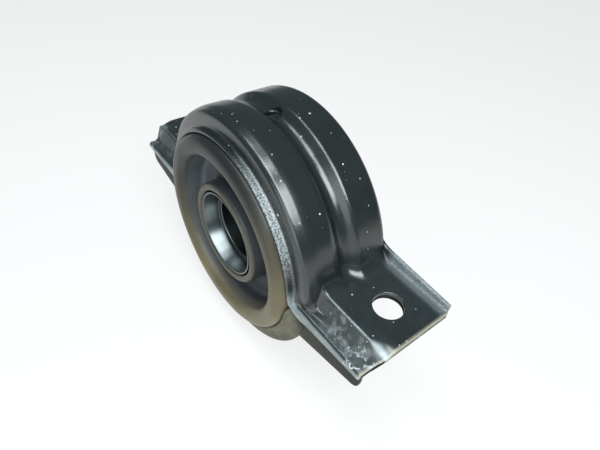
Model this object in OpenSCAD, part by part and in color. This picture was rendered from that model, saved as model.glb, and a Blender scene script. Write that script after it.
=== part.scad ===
// Driveshaft centre bearing: a sealed ball bearing in a rubber cushion, in a two-piece pressed bracket.
// X runs along the ears, Y along the shaft (the front is at low Y), Z is up.
// The origin is the bearing's centre.

/* [Bracket] */
// Thickness of the pressed sheet
sheet_t = 2; // [1.5:0.1:2.5]
// Depth of the bracket along the shaft
bracket_depth = 51; // [46:0.5:60]
// Outer radius of the arch
arch_r = 63; // [60:0.5:70]
// How far the front lip lies inside the arch
lip_drop = 8.3; // [7:0.1:9.5]
// Width of the front lip along the shaft
lip_w = 3.8; // [3:0.1:5]
// Width of the lower ring's front lip along the shaft
low_lip_w = 2; // [1.5:0.1:4]
// Run of the front wall along the shaft
wall_run = 1.6; // [1:0.1:3]
// Depth of the stiffening groove
groove_depth = 3; // [1.5:0.1:3.5]
// Place of the groove's middle along the shaft
groove_y = 2.4; // [0:0.1:5]
// Width of the groove's floor
groove_floor = 3.4; // [2:0.1:5]
// Run of each flank of the groove along the shaft
groove_run = 4.4; // [3:0.1:5]
// How far the rear band stands above the arch
band_rise = 1; // [0.5:0.1:2]
// How far the rear lip turns in
rear_lip = 7; // [5:0.1:9]
// Diameter of the locating hole in the crown
crown_hole_d = 8; // [5:0.5:10]

/* [Ears] */
// Distance between the two bolt holes
hole_spacing = 168; // [164:0.5:176]
// Diameter of the bolt holes
ear_hole_d = 14; // [10:0.5:15]
// Place of the bolt holes along the shaft
hole_y = 6.5; // [4:0.5:9]
// Length over both ears
ear_span = 202; // [198:0.5:220]
// How much shorter the front strip is at each end
strip_short = 3.3; // [1:0.1:5]
// Distance of the ears' front edge behind the lip
ear_setback = 3; // [2:0.1:4]
// Width of the front strip
strip_w = 5.6; // [4:0.1:7]
// Run of the ear's front wall along the shaft
ear_wall_run = 4.2; // [3:0.1:6]
// Height of the ear's pad above the front strip
pad_rise = 8.8; // [7:0.1:10]
// Height of the rear flange above the pad, at the arch
flange_rise = 6.9; // [5:0.1:9]
// Height that the flange loses towards the tip
flange_fall = 2.6; // [0:0.1:4]
// Radius of the bend between ear and arch
bend_r = 8; // [5:0.5:10]
// Height of the upper skirt at the tip
upper_skirt_tip = 2.4; // [2.2:0.1:4]
// Height of the upper skirt at the arch
upper_skirt_root = 6; // [4:0.1:7]
// Height of the lower skirt at the tip
lower_skirt_tip = 13.8; // [8:0.1:17]
// Height of the lower skirt at the ring
lower_skirt_root = 23; // [14:0.1:27]

/* [Cushion] */
// How far the front roll stands out of the bracket
front_roll = 3.4; // [1:0.1:5]
// How far the rear roll stands out of the bracket
rear_roll = 2.4; // [1:0.1:4]
// Radius of the mouth of the recess
mouth_r = 42; // [41:0.1:45]
// Radius of the recess at its floor
recess_r = 40.5; // [40:0.1:43]
// Outer radius of the collar
collar_r = 27.6; // [26:0.1:30]
// Wall of the collar
collar_wall = 4.3; // [3:0.1:4.4]
// Distance of the front collar's rim from the bearing's centre
collar_front = 26; // [22:0.5:28]
// Distance of the rear collar's rim from the bearing's centre
collar_rear = 22; // [20:0.5:26]
// Thickness of the recess floor
floor_t = 3; // [2:0.1:4]

/* [Bearing] */
// Diameter of the shaft bore
bore_d = 35; // [30:0.5:36]
// Outer diameter of the bearing
bearing_od = 72; // [70:0.5:74]
// Width of the bearing
bearing_w = 17; // [16:0.5:19]
// Number of balls
ball_count = 9; // [7:1:9]
// Diameter of a ball
ball_d = 10.9; // [10:0.1:11]
// Thickness of the cage sheet
cage_t = 0.9; // [0.7:0.1:1]
// Thickness of a seal
seal_t = 0.9; // [0.6:0.1:1]
// Wall of the steel carrier round the bearing
carrier_t = 2; // [1.5:0.1:2.5]
// Thickness of the retaining ring
snap_t = 1.5; // [1:0.1:1.6]

/* [Slingers] */
// Length of a slinger
slinger_len = 8.5; // [6:0.5:10]
// Thickness of a slinger's flange
slinger_flange_t = 1.6; // [1:0.1:2]
// Wall of a slinger's sleeve
slinger_wall = 2.5; // [1.5:0.1:3]
// Wall of a slinger's cup
cup_wall = 1; // [0.8:0.1:1.5]
// Step from the sleeve out to the foot of the cup
cup_step = 0.8; // [0.6:0.1:1.2]
// Distance of the cup's rim behind the collar's rim
cup_inset = 0.6; // [0.3:0.1:2]

/* [Hidden] */
$fn = 96;
// Clearances: nested sheets, seats in one body, moving parts, rotating flange in the collar
nest_gap = 0.3;
seat_gap = 0.2;
fit_gap = 0.02;
run_gap = 0.3;
flange_gap = 0.5;
// Small sinking of added webs into the forms that they join
sink = 0.05;
// Reach of cutting blocks
far = 400;

// How far the ears' rear flange stands behind the arch
flange_out = 1;
// Overlap of cutting shapes beyond the surfaces that they cut
over = 1;
// Hidden reach of skirts and webs into the sheet behind them
tuck = 0.1;

// Stations along the shaft
front_y = -bracket_depth / 2;
rear_y = bracket_depth / 2;
wall_y = front_y + lip_w;
arch_y = wall_y + wall_run;
low_wall_y = front_y + low_lip_w;
groove_a = groove_y - groove_floor / 2 - groove_run;
groove_b = groove_y - groove_floor / 2;
groove_c = groove_y + groove_floor / 2;
groove_d = groove_y + groove_floor / 2 + groove_run;
ear_front_y = front_y + ear_setback;
foot_y = ear_front_y + strip_w;
fold_y = foot_y + ear_wall_run;
flange_y = rear_y + flange_out;

// Levels
lip_r = arch_r - lip_drop;
band_r = arch_r + band_rise;
groove_r = arch_r - groove_depth;
pad_z = pad_rise;
strip_z = 0;
ear_end = ear_span / 2;
hole_x = hole_spacing / 2;
strip_end = ear_end - strip_short;
flange_z = pad_z + flange_rise;
flange_tip_z = flange_z - flange_fall;

// Corner radii of the pressings and the number of steps in each rounded corner
press_r = 2.4;
edge_r = 3.2;
strip_bend_r = 5;
low_bend_r = 4.5;
// The wide concave round at the foot of the ears' front wall
foot_r = 4;
// Fold of the lower ears' underside, in front of its flat
low_fold_y = fold_y + sheet_t + nest_gap / 2;
strip_edge_r = 1.2;
strip_inner_r = 0.2;
steps = 4;
// The lower skirt ends short of the strip's tip, with a rounded corner
lower_skirt_short = 0.2;
lower_skirt_r = 3.5;
// Where the lower skirt's edge meets the ring, half a sheet inside it
lower_skirt_x = sqrt(arch_r * arch_r - lower_skirt_root * lower_skirt_root) - sheet_t / 2;
// Start of the rear flange, inside the arch
flange_root = arch_r * 0.9;

// Bearing
bore_r = bore_d / 2;
race_r = bearing_od / 2;
half_w = bearing_w / 2;
ball_r = ball_d / 2;
pitch_r = (bore_r + race_r) / 2;
track_r = ball_r + run_gap;
// Part of the ball's radius that stands clear of each race's land
land_share = 0.64;
inner_land_r = pitch_r - ball_r * land_share;
outer_land_r = pitch_r + ball_r * land_share;
// Depth of the seal's seat in the outer race, and how far the seal lies inside the face
seal_bite = 1.6;
seal_inset = 0.2;
seal_seat_r = outer_land_r + seal_bite;
seal_y = half_w - seal_inset;
// Room between the cage and the lands
cage_room = 0.8;
cage_inner_r = inner_land_r + cage_room;
cage_outer_r = outer_land_r - cage_room;
pocket_r = ball_r + run_gap;
rivet_r = 0.9;
rivet_head_r = 1.5;
rivet_head_h = 0.6;

// Carrier and retaining ring: lip over the race, edge in front of the ring, groove and gap of the ring
carrier_lip = 3.5;
carrier_edge = 1;
snap_bite = 0.9;
snap_gap = 3;
carrier_bore_r = race_r + fit_gap;
carrier_r = carrier_bore_r + carrier_t;
carrier_lip_r = race_r - carrier_lip;
carrier_rear = half_w + carrier_t;
snap_front = half_w + snap_t + fit_gap;
carrier_front = snap_front + carrier_edge;
snap_groove_r = carrier_bore_r + snap_bite;

// Cushion
collar_in_r = collar_r - collar_wall;
front_floor_back = carrier_front + seat_gap;
front_floor = front_floor_back + floor_t;
rear_floor_back = carrier_rear + seat_gap;
rear_floor = rear_floor_back + floor_t;
neck_r = lip_r - sheet_t - seat_gap;
body_r = groove_r - sheet_t - seat_gap;
shoulder_r = band_r - sheet_t - seat_gap;
rear_mouth_r = band_r - rear_lip - seat_gap;
pip_r = crown_hole_d / 2 - seat_gap;
recess_fillet = 2.5;
roll_r = 4;
body_fillet = 1.5;

// Slingers
slinger_edge_r = 0.6;
slinger_r = collar_in_r - flange_gap;
slinger_out = half_w + slinger_len;
cup_foot_r = bore_r + slinger_wall + cup_step;
cup_bend = 1.5;
cup_edge_r = 0.3;

// Geometry helpers

function unit(v) = v / norm(v);

function turn(a) = a > 180 ? a - 360 : (a < -180 ? a + 360 : a);

// Points of a rounded corner at b, between a and c
function corner(a, b, c, r) =
  r <= 0 ? [b] :
  let (
    u = unit(a - b),
    v = unit(c - b),
    half = acos(u * v) / 2,
    m = b + unit(u + v) * r / sin(half),
    p = b + u * r / tan(half) - m,
    q = b + v * r / tan(half) - m,
    a0 = atan2(p[1], p[0]),
    sweep = turn(atan2(q[1], q[0]) - a0)
  )
  [for (i = [0 : steps]) m + r * [cos(a0 + sweep * i / steps), sin(a0 + sweep * i / steps)]];

// A closed outline from corners given as [x, y, radius]
function rounded(pts) =
  let (n = len(pts))
  [for (i = [0 : n - 1])
    let (a = pts[(i + n - 1) % n], b = pts[i], c = pts[(i + 1) % n])
    each corner([a[0], a[1]], [b[0], b[1]], [c[0], c[1]], b[2])];

// Revolves an outline of [radius, y] points about the shaft axis
module turned(outline) {
  rotate([-90, 0, 0]) rotate_extrude() polygon([for (p = outline) [p[0], p[1]]]);
}

// A plain ring about the shaft axis
module ring(r_in, r_out, y0, y1) {
  turned([[r_in, y0], [r_out, y0], [r_out, y1], [r_in, y1]]);
}

// Extrudes a shape drawn in [x, z] from y0 to y1
module along_y(y0, y1) {
  translate([0, y1, 0]) rotate([90, 0, 0]) linear_extrude(y1 - y0) children();
}

// Extrudes a shape drawn in [y, z] over the whole length of both ears
module along_x(half_length) {
  rotate([90, 0, 90]) translate([0, 0, -half_length]) linear_extrude(2 * half_length) children();
}

module both_sides() {
  children();
  mirror([1, 0, 0]) children();
}

module ear_holes() {
  both_sides() translate([hole_x, hole_y, -far / 2]) cylinder(d = ear_hole_d, h = far);
}

// Pressed bracket

// The filled form of the arch or the lower ring, off below its outer surface, with its front wall at wall
module ring_form(off, wall) {
  turned(rounded([
    [0, front_y - off, 0],
    [lip_r - off, front_y - off, 0],
    [lip_r - off, wall + off, off > 0 ? 0 : press_r / 2],
    [arch_r - off, wall + wall_run + off, press_r],
    [arch_r - off, groove_a, press_r],
    [groove_r - off, groove_b, press_r],
    [groove_r - off, groove_c, press_r],
    [band_r - off, groove_d, press_r],
    [band_r - off, rear_y - off, edge_r - off],
    [0, rear_y - off, 0]
  ]));
}

// The opening that the rear lip leaves
module rear_opening() {
  ring(0, band_r - rear_lip, 0, far / 2);
}

// Everything under the ears' surface, off below it, for the whole length
module under_ears(off, half_length) {
  along_x(half_length) polygon(rounded([
    [ear_front_y + off, -far / 4, 0],
    [ear_front_y + off, strip_z - off, off > 0 ? strip_inner_r : strip_edge_r],
    [foot_y + off / 2, strip_z - off, foot_r],
    [fold_y + off / 2, pad_z - off, press_r],
    [flange_y, pad_z - off, 0],
    [flange_y, -far / 4, 0]
  ]));
}

// Outline of a concave bend between a round of radius r and a level z
module bend_outline(r, z, bend) {
  mz = z + bend;
  mx = sqrt((r + bend) * (r + bend) - mz * mz);
  a1 = atan2(mz, mx) + 180;
  polygon(concat(
    [for (i = [0 : 2 * steps]) let (a = 270 + (a1 - 270) * i / (2 * steps))
      [mx, mz] + (bend + sink) * [cos(a), sin(a)]],
    [[mx * r / (r + bend) - over, z - over], [mx, z - over]]
  ));
}

// Stretches of a groove flank from y0 to y1, each with the radius that a bend web takes there;
// neighbours differ by half a sheet at most, so that the webs overlap
function flank(y0, y1, r0, r1) =
  let (n = ceil(abs(r1 - r0) / (sheet_t / 2)), run = (y1 - y0) / n, rise = (r1 - r0) / n)
  [for (i = [0 : n - 1]) [y0 + run * i, y0 + run * (i + 1), r0 + rise * (i + 0.5)]];

web_stretches = concat(
  [[fold_y, groove_a, arch_r]],
  flank(groove_a, groove_b, arch_r, groove_r),
  [[groove_b, groove_c, groove_r]],
  flank(groove_c, groove_d, groove_r, band_r),
  [[groove_d, rear_y, band_r]]
);

// Concave bends of the front strip and of the pad, off below the outer surface
module bends(off) {
  both_sides() {
    for (w = web_stretches) along_y(w[0], w[1]) bend_outline(w[2] - off, pad_z - off, bend_r + off);
    along_y(ear_front_y + off, wall_y + off) bend_outline(lip_r - off, strip_z - off, strip_bend_r + off);
  }
}

// Webs in the corner between the lower ring and the underside of the lower ears
module lower_bends(level) {
  both_sides() mirror([0, 0, 1])
    for (w = web_stretches) if (w[1] > low_fold_y)
      along_y(max(w[0], low_fold_y), w[1]) bend_outline(w[2], -level, low_bend_r);
}

// The flange that stands up along the ears' rear edge and sweeps into the arch
module rear_flange() {
  mz = flange_z + bend_r;
  mx = sqrt((arch_r + bend_r) * (arch_r + bend_r) - mz * mz);
  both_sides() along_y(flange_y - sheet_t, flange_y) difference() {
    union() {
      polygon([
        [flange_root, pad_z - sheet_t],
        [ear_end, pad_z - sheet_t],
        [ear_end, flange_tip_z],
        [mx, flange_z],
        [flange_root, flange_z]
      ]);
      bend_outline(arch_r, flange_z, bend_r);
    }
    circle(r = arch_r - sheet_t);
  }
}

// Plan of the ears: the front strip is shorter than the pad
module ear_plan() {
  translate([0, 0, -far / 2]) linear_extrude(far) polygon([
    [-strip_end, front_y - far / 8], [strip_end, front_y - far / 8],
    [strip_end, foot_y], [ear_end, fold_y], [ear_end, rear_y + far / 8],
    [-ear_end, rear_y + far / 8], [-ear_end, fold_y], [-strip_end, foot_y]
  ]);
}

// What is kept of a pressing below a level: a skirt along the ears' front edge
module skirt_zone(top_z, root_x, root_h, tip_x, tip_h, tip_r, y0, y1) {
  both_sides() along_y(y0, y1) polygon(rounded([
    [root_x, top_z + over, 0],
    [root_x, strip_z - root_h, 0],
    [tip_x, strip_z - tip_h, tip_r],
    [tip_x, top_z + over, 0]
  ]));
}

module upper_bracket() color("#1d2224") intersection() {
  difference() {
    union() {
      ring_form(0, wall_y);
      under_ears(0, ear_end);
      bends(0);
      rear_flange();
    }
    ring_form(sheet_t, wall_y);
    rear_opening();
    under_ears(sheet_t, ear_end + over);
    bends(sheet_t);
    ear_holes();
    translate([0, groove_y, 0]) cylinder(d = crown_hole_d, h = far / 2);
  }
  ear_plan();
  union() {
    translate([-far / 2, -far / 2, strip_z - sheet_t]) cube([far, far, far]);
    skirt_zone(strip_z - sheet_t, arch_r + nest_gap, upper_skirt_root, strip_end, upper_skirt_tip, 0,
      ear_front_y - over, ear_front_y + sheet_t + tuck);
  }
}

module lower_bracket() color("#3d4146") {
  top = sheet_t + nest_gap;
  difference() {
    union() {
      intersection() {
        ring_form(0, low_wall_y);
        union() {
          translate([-far / 2, -far / 2, strip_z - top - far / 2]) cube([far, far, far / 2]);
          under_ears(top, ear_end);
        }
      }
      intersection() {
        difference() {
          under_ears(top, ear_end);
          under_ears(top + sheet_t, ear_end + over);
        }
        ear_plan();
        union() {
          translate([-far / 2, -far / 2, strip_z - top - sheet_t]) cube([far, far, far]);
          skirt_zone(strip_z - top, lower_skirt_x, lower_skirt_root, strip_end - lower_skirt_short,
            lower_skirt_tip, lower_skirt_r, ear_front_y + top - over, ear_front_y + top + sheet_t + tuck);
        }
      }
      lower_bends(pad_z - top - sheet_t);
    }
    ring_form(sheet_t, low_wall_y);
    rear_opening();
    translate([-far / 2, rear_y, -far / 2]) cube(far);
    ear_holes();
  }
}

// Cushion

module rubber_cushion() color("#2b2d30") {
  turned(rounded([
    [collar_in_r, -front_floor_back, 0],
    [collar_in_r, -collar_front, collar_wall / 2 - sink],
    [collar_r, -collar_front, collar_wall / 2 - sink],
    [collar_r, -front_floor, recess_fillet],
    [recess_r, -front_floor, recess_fillet],
    [mouth_r, front_y - front_roll, roll_r],
    [neck_r, front_y - front_roll, roll_r],
    [neck_r, arch_y + sheet_t + seat_gap, 0],
    [body_r, arch_y + sheet_t + seat_gap, body_fillet],
    [body_r, groove_c + seat_gap, body_fillet],
    [shoulder_r, groove_d + sheet_t, body_fillet],
    [shoulder_r, rear_y - sheet_t - seat_gap, body_fillet],
    [rear_mouth_r, rear_y - sheet_t - seat_gap, 0],
    [rear_mouth_r, rear_y + rear_roll, roll_r],
    [mouth_r, rear_y + rear_roll, roll_r],
    [recess_r, rear_floor, recess_fillet],
    [collar_r, rear_floor, recess_fillet],
    [collar_r, collar_rear, collar_wall / 2 - sink],
    [collar_in_r, collar_rear, collar_wall / 2 - sink],
    [collar_in_r, rear_floor_back, 0],
    [carrier_r + fit_gap, rear_floor_back, 0],
    [carrier_r + fit_gap, -front_floor_back, 0]
  ]));
  translate([0, groove_y, body_r - over]) cylinder(r = pip_r, h = groove_r - sheet_t / 2 - body_r + over);
}

// Bearing

module bearing_carrier() color("#8d9196") turned([
  [carrier_lip_r, carrier_rear], [carrier_r, carrier_rear], [carrier_r, -carrier_front],
  [carrier_bore_r, -carrier_front], [carrier_bore_r, -snap_front], [snap_groove_r, -snap_front],
  [snap_groove_r, -half_w], [carrier_bore_r, -half_w], [carrier_bore_r, half_w + fit_gap],
  [carrier_lip_r, half_w + fit_gap]
]);

module retaining_ring() color("#6f7478") difference() {
  ring(carrier_lip_r, snap_groove_r - seat_gap, -half_w - snap_t, -half_w - fit_gap);
  rotate([0, 90, 0]) translate([-snap_gap / 2, -half_w - 2 * snap_t, 0])
    cube([snap_gap, 3 * snap_t, far / 2]);
}

module race_track() {
  rotate([-90, 0, 0]) rotate_extrude() translate([pitch_r, 0]) circle(r = track_r);
}

module outer_race() color("#b4b8bb") difference() {
  ring(outer_land_r, race_r, -half_w, half_w);
  race_track();
  ring(0, seal_seat_r, seal_y - seal_t - fit_gap, half_w + over);
  ring(0, seal_seat_r, -half_w - over, -seal_y + seal_t + fit_gap);
}

module inner_race() color("#b4b8bb") difference() {
  ring(bore_r, inner_land_r, -half_w, half_w);
  race_track();
}

module seal() {
  ring(inner_land_r + run_gap, seal_seat_r - fit_gap, seal_y - seal_t, seal_y);
}

module front_seal() color("#26282b") mirror([0, 1, 0]) seal();

module rear_seal() color("#26282b") seal();

module around(count, offset_turn) {
  for (i = [0 : count - 1]) rotate([0, (i + offset_turn) * 360 / count, 0]) children();
}

// Round bars that point outwards through every ball
module pockets(r) {
  around(ball_count, 0) translate([cage_inner_r - over, 0, 0]) rotate([0, 90, 0])
    cylinder(r = r, h = cage_outer_r - cage_inner_r + 2 * over);
}

// The rear half of the cage: a flat ring that waves round each ball
module cage_half() difference() {
  union() {
    ring(cage_inner_r, cage_outer_r, 0, cage_t);
    intersection() {
      pockets(pocket_r + cage_t);
      ring(cage_inner_r, cage_outer_r, 0, half_w);
    }
  }
  pockets(pocket_r);
  around(ball_count, 0.5) translate([pitch_r, 0, 0]) rotate([90, 0, 0])
    cylinder(r = rivet_r + fit_gap, h = 4 * cage_t, center = true);
}

module cage_rear() color("#a8926a") cage_half();

module cage_front() color("#a8926a") mirror([0, 1, 0]) cage_half();

module cage_rivets() color("#8e7b58") around(ball_count, 0.5) translate([pitch_r, 0, 0]) rotate([90, 0, 0]) {
  cylinder(r = rivet_r, h = 2 * cage_t + 2 * rivet_head_h, center = true);
  for (s = [-1, 1]) translate([0, 0, s * (cage_t + fit_gap + rivet_head_h / 2)])
    cylinder(r = rivet_head_r, h = rivet_head_h, center = true);
}

module ball(i) color("#d8dadc") rotate([0, (i - 1) * 360 / ball_count, 0]) translate([pitch_r, 0, 0])
  sphere(r = ball_r);

// Slingers: sleeves on the shaft that turn with the inner race and open into a flared cup inside the collar

module slinger(collar) {
  rim = collar - cup_inset;
  bend = min(cup_bend, (rim - slinger_out) / 3);
  turned(rounded([
    [bore_r, half_w, 0],
    [bore_r + slinger_wall, half_w, 0],
    [bore_r + slinger_wall, slinger_out - slinger_flange_t, 0],
    [cup_foot_r, slinger_out - slinger_flange_t, cup_edge_r],
    [slinger_r, rim, cup_edge_r],
    [slinger_r - cup_wall, rim, cup_edge_r],
    [cup_foot_r - cup_wall, slinger_out, bend],
    [bore_r, slinger_out, slinger_edge_r]
  ]));
}

module rear_slinger() color("#c3c7ca") slinger(collar_rear);

module front_slinger() color("#c3c7ca") mirror([0, 1, 0]) slinger(collar_front);

upper_bracket();
lower_bracket();
rubber_cushion();
bearing_carrier();
retaining_ring();
outer_race();
front_seal();
rear_seal();
inner_race();
front_slinger();
rear_slinger();
cage_front();
cage_rear();
cage_rivets();
for (i = [1 : ball_count]) ball(i);
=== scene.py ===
"""Driveshaft centre bearing: bracket halves, cushion, slingers and inner race as smooth surfaces on the frame.

The other pieces keep the CAD's meshes and get their finishes here. Lengths are millimetres until a mesh is made.
X runs along the ears, Y along the shaft with the front at low Y, and Z is up, with the bearing's centre at the
origin, as in the CAD.
"""

import bpy
import numpy as np
from mathutils import Matrix


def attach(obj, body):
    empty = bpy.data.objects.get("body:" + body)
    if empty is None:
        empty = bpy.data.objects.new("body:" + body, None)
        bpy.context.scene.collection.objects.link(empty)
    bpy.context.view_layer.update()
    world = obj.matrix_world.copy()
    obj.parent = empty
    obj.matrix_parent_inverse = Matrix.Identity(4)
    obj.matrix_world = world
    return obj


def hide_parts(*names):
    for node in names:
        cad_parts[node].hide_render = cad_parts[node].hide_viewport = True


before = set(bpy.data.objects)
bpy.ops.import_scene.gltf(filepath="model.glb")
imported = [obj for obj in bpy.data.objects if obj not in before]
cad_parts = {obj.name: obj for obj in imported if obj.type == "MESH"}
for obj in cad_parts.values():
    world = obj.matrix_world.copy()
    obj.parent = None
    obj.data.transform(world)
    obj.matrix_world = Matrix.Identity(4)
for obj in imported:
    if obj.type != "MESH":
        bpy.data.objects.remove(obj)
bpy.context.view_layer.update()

MM = 0.001
SHARP_DEG = 40

# A corner is straight below this cosine; one without a round keeps its points within this reach
STRAIGHT, PLAIN_REACH = -0.9999, 0.2

# Bracket sizes, as in the CAD
SHEET, NEST, BEND_R = 2.0, 2.3, 8.0
LIP_R, ARCH_R, GROOVE_R, BAND_R, REAR_LIP_R = 54.7, 63.0, 60.0, 64.0, 57.0
FRONT_Y, REAR_Y = -25.5, 25.5
GROOVE_YS = (-3.7, 0.7, 4.1, 8.5)
EAR_END, STRIP_END = 101.0, 97.7
PAD_Z, STRIP_Z = 8.8, 0.0
EAR_FRONT_Y, FOOT_Y, FOLD_Y = -22.5, -16.9, -12.7
HOLE_X, HOLE_Y, HOLE_R = 84.0, 6.5, 7.0
CROWN_Y, CROWN_R = 2.4, 4.0

# The sheet's rounded edges stand RIM out of the drawn surface, and the lower fold lies NEST_Y behind the upper one.
# The front rims' drop below the strip and the flanges' tops are given at ROOT_X and TIP_X
RIM, NEST_Y = 0.5, 2.15
ROOT_X, TIP_X = 60.0, 97.7
RIM_DROP_ROOT, RIM_DROP_TIP = 5.8, 2.6
FLANGE_ROOT_Z, FLANGE_TIP_Z = 15.9, 13.2


# Mesh helpers

def tidy_shell(verts, quads):
    """Turns the quads of a closed shell outwards, so that the signed volume summed over its triangles is positive."""
    a, b, c, d = (verts[quads[:, k]] for k in range(4))
    volume = np.einsum("ij,ij->i", a, np.cross(b, c)).sum() + np.einsum("ij,ij->i", a, np.cross(c, d)).sum()
    return quads[:, ::-1] if volume < 0 else quads


def make_piece(name, shells, sharp_deg=SHARP_DEG):
    """One object from several closed shells, each (points, quads)."""
    starts = np.cumsum([0] + [len(verts) for verts, _ in shells])
    points = np.concatenate([verts for verts, _ in shells]) * MM
    faces = np.concatenate([tidy_shell(verts, quads) + start for (verts, quads), start in zip(shells, starts)])
    mesh = bpy.data.meshes.new(name)
    mesh.vertices.add(len(points))
    mesh.vertices.foreach_set("co", points.ravel())
    mesh.loops.add(faces.size)
    mesh.loops.foreach_set("vertex_index", faces.ravel().astype(np.int32))
    mesh.polygons.add(len(faces))
    mesh.polygons.foreach_set("loop_start", np.arange(0, faces.size, 4, dtype=np.int32))
    mesh.update(calc_edges=True)
    mesh.validate()
    mesh.polygons.foreach_set("use_smooth", np.ones(len(mesh.polygons), dtype=bool))
    mesh.set_sharp_from_angle(angle=np.radians(sharp_deg))
    piece = bpy.data.objects.new(name, mesh)
    bpy.context.scene.collection.objects.link(piece)
    return piece


def loop_quads(rows, cols):
    """Quads between neighbouring closed loops of cols points each."""
    i, j = np.meshgrid(np.arange(rows - 1), np.arange(cols), indexing="ij")
    k = (j + 1) % cols
    return np.stack([i * cols + j, i * cols + k, (i + 1) * cols + k, (i + 1) * cols + j], -1).reshape(-1, 4)


def filleted(corners, radii, arc=6, straight=4):
    """A polyline through corners with a round of the given radius at each inner one.

    Every corner gives arc points on its round, every side straight points, whatever the radius is, so that two
    sections with the same number of corners match point by point. A round's centre lies on the corner's bisector
    at radius / sin(half angle), and its ends lie radius / tan(half angle) along both sides.
    """
    corners = np.asarray(corners, float)
    knots = [corners[:1]]
    for k in range(1, len(corners) - 1):
        a, b, c = corners[k - 1], corners[k], corners[k + 1]
        u, v = (a - b) / np.linalg.norm(a - b), (c - b) / np.linalg.norm(c - b)
        cosine = np.clip(u @ v, -1, 1)
        if radii[k] <= 0 or cosine < STRAIGHT:
            reach = min(PLAIN_REACH, np.linalg.norm(a - b) / 4, np.linalg.norm(c - b) / 4)
            knots.append(b + np.outer(np.linspace(-1, 1, arc).clip(None, 0), -u) * reach
                         + np.outer(np.linspace(-1, 1, arc).clip(0, None), v) * reach)
            continue
        half = np.arccos(cosine) / 2
        centre = b + (u + v) / np.linalg.norm(u + v) * radii[k] / np.sin(half)
        p, q = b + u * radii[k] / np.tan(half) - centre, b + v * radii[k] / np.tan(half) - centre
        a0, a1 = np.arctan2(p[1], p[0]), np.arctan2(q[1], q[0])
        turn = a0 + ((a1 - a0 + np.pi) % (2 * np.pi) - np.pi) * np.linspace(0, 1, arc)
        knots.append(centre + radii[k] * np.stack([np.cos(turn), np.sin(turn)], -1))
    knots.append(corners[-1:])
    rows = []
    for k, knot in enumerate(knots[:-1]):
        rows.append(knot)
        s = np.linspace(0, 1, straight + 2)[1:-1, None]
        rows.append(knot[-1] * (1 - s) + knots[k + 1][0] * s)
    rows.append(knots[-1])
    return np.concatenate(rows)


def lathe(outline, turns):
    """A closed outline of (radius, y) points turned about the shaft: x = r cos a, z = r sin a."""
    a = np.linspace(0, 2 * np.pi, turns, endpoint=False)
    r, y = outline[:, 0], outline[:, 1]
    grid = np.stack([np.outer(np.cos(a), r), np.broadcast_to(y, (turns, len(r))), np.outer(np.sin(a), r)], -1)
    quads = loop_quads(turns + 1, len(r)) % (turns * len(r))
    return grid.reshape(-1, 3), quads


def closed_outline(corners, radii, arc=8, straight=3):
    """A closed outline with a round at every corner: the open one, started in the middle of the first side."""
    corners = np.asarray(corners, float)
    start = (corners[0] + corners[-1]) / 2
    return filleted(np.vstack([start, corners, start]), [0, *radii, 0], arc, straight)[:-1]


# Paths of the pressings

def ease(t):
    """Smooth step from 0 to 1."""
    t = np.clip(t, 0, 1)
    return t * t * (3 - 2 * t)


def ear_paths(r, bend, z_root, z_tip, x_end, y_arch, y_ear, counts, top=90.0, before=9.0, after=6.0):
    """The right half of every section point's way: down the arch, round the concave bend and out along the ear.

    The first seven arguments are arrays over the section. The arch is a circle of radius r from top degrees, the ear
    a straight line through z_root at ROOT_X and z_tip at TIP_X. The bend is the round of radius bend that touches
    both: its centre lies bend above the line and r + bend from the shaft. The way's y eases from y_arch to y_ear
    between before millimetres ahead of the bend and after millimetres past it; these may be arrays too.
    """
    slope = (z_tip - z_root) / (TIP_X - ROOT_X)
    size = np.sqrt(1 + slope ** 2)
    d = np.stack([1 / size, slope / size], -1)
    n = np.stack([-slope / size, 1 / size], -1)
    q = np.stack([np.zeros_like(r), z_root - slope * ROOT_X], -1) + n * bend[:, None]
    along = (q * d).sum(-1)
    s = -along + np.sqrt(along ** 2 - (q * q).sum(-1) + (r + bend) ** 2)
    centre = q + d * s[:, None]
    foot = centre - n * bend[:, None]
    fall = np.arctan2(centre[:, 1], centre[:, 0])
    na, nb, ne = counts
    t = np.linspace(0, 1, na, endpoint=False)[:, None]
    angle = np.radians(top) + (fall - np.radians(top)) * t
    arch = np.stack([r * np.cos(angle), r * np.sin(angle), (fall - angle) * r], -1)
    t = np.linspace(0, 1, nb, endpoint=False)[:, None]
    swing = 0.5 * np.pi + np.arctan(slope) - fall
    turn = fall + np.pi + swing * t
    curve = bend * swing
    round_part = np.stack([centre[:, 0] + bend * np.cos(turn), centre[:, 1] + bend * np.sin(turn), curve * t], -1)
    t = np.linspace(0, 1, ne)[:, None]
    x = foot[:, 0] + (x_end - foot[:, 0]) * t
    ear = np.stack([x, z_root + slope * (x - ROOT_X), curve + (x - foot[:, 0]) * size], -1)
    way = np.concatenate([arch, round_part, ear])
    y = y_arch + (y_ear - y_arch) * ease((way[..., 2] + before) / (before + curve + after))
    return np.stack([way[..., 0], y, way[..., 1]], -1)


def both_halves(half):
    """The whole way from the left ear's tip over the crown to the right ear's tip, from its right half."""
    left = half[:0:-1] * np.array([-1, 1, 1])
    return np.concatenate([left, half])


def normals_of(grid):
    """Unit normals of a grid of points, from the cross product of its two directions."""
    n = np.cross(np.gradient(grid, axis=1), np.gradient(grid, axis=0))
    return n / np.linalg.norm(n, axis=-1, keepdims=True)


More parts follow.
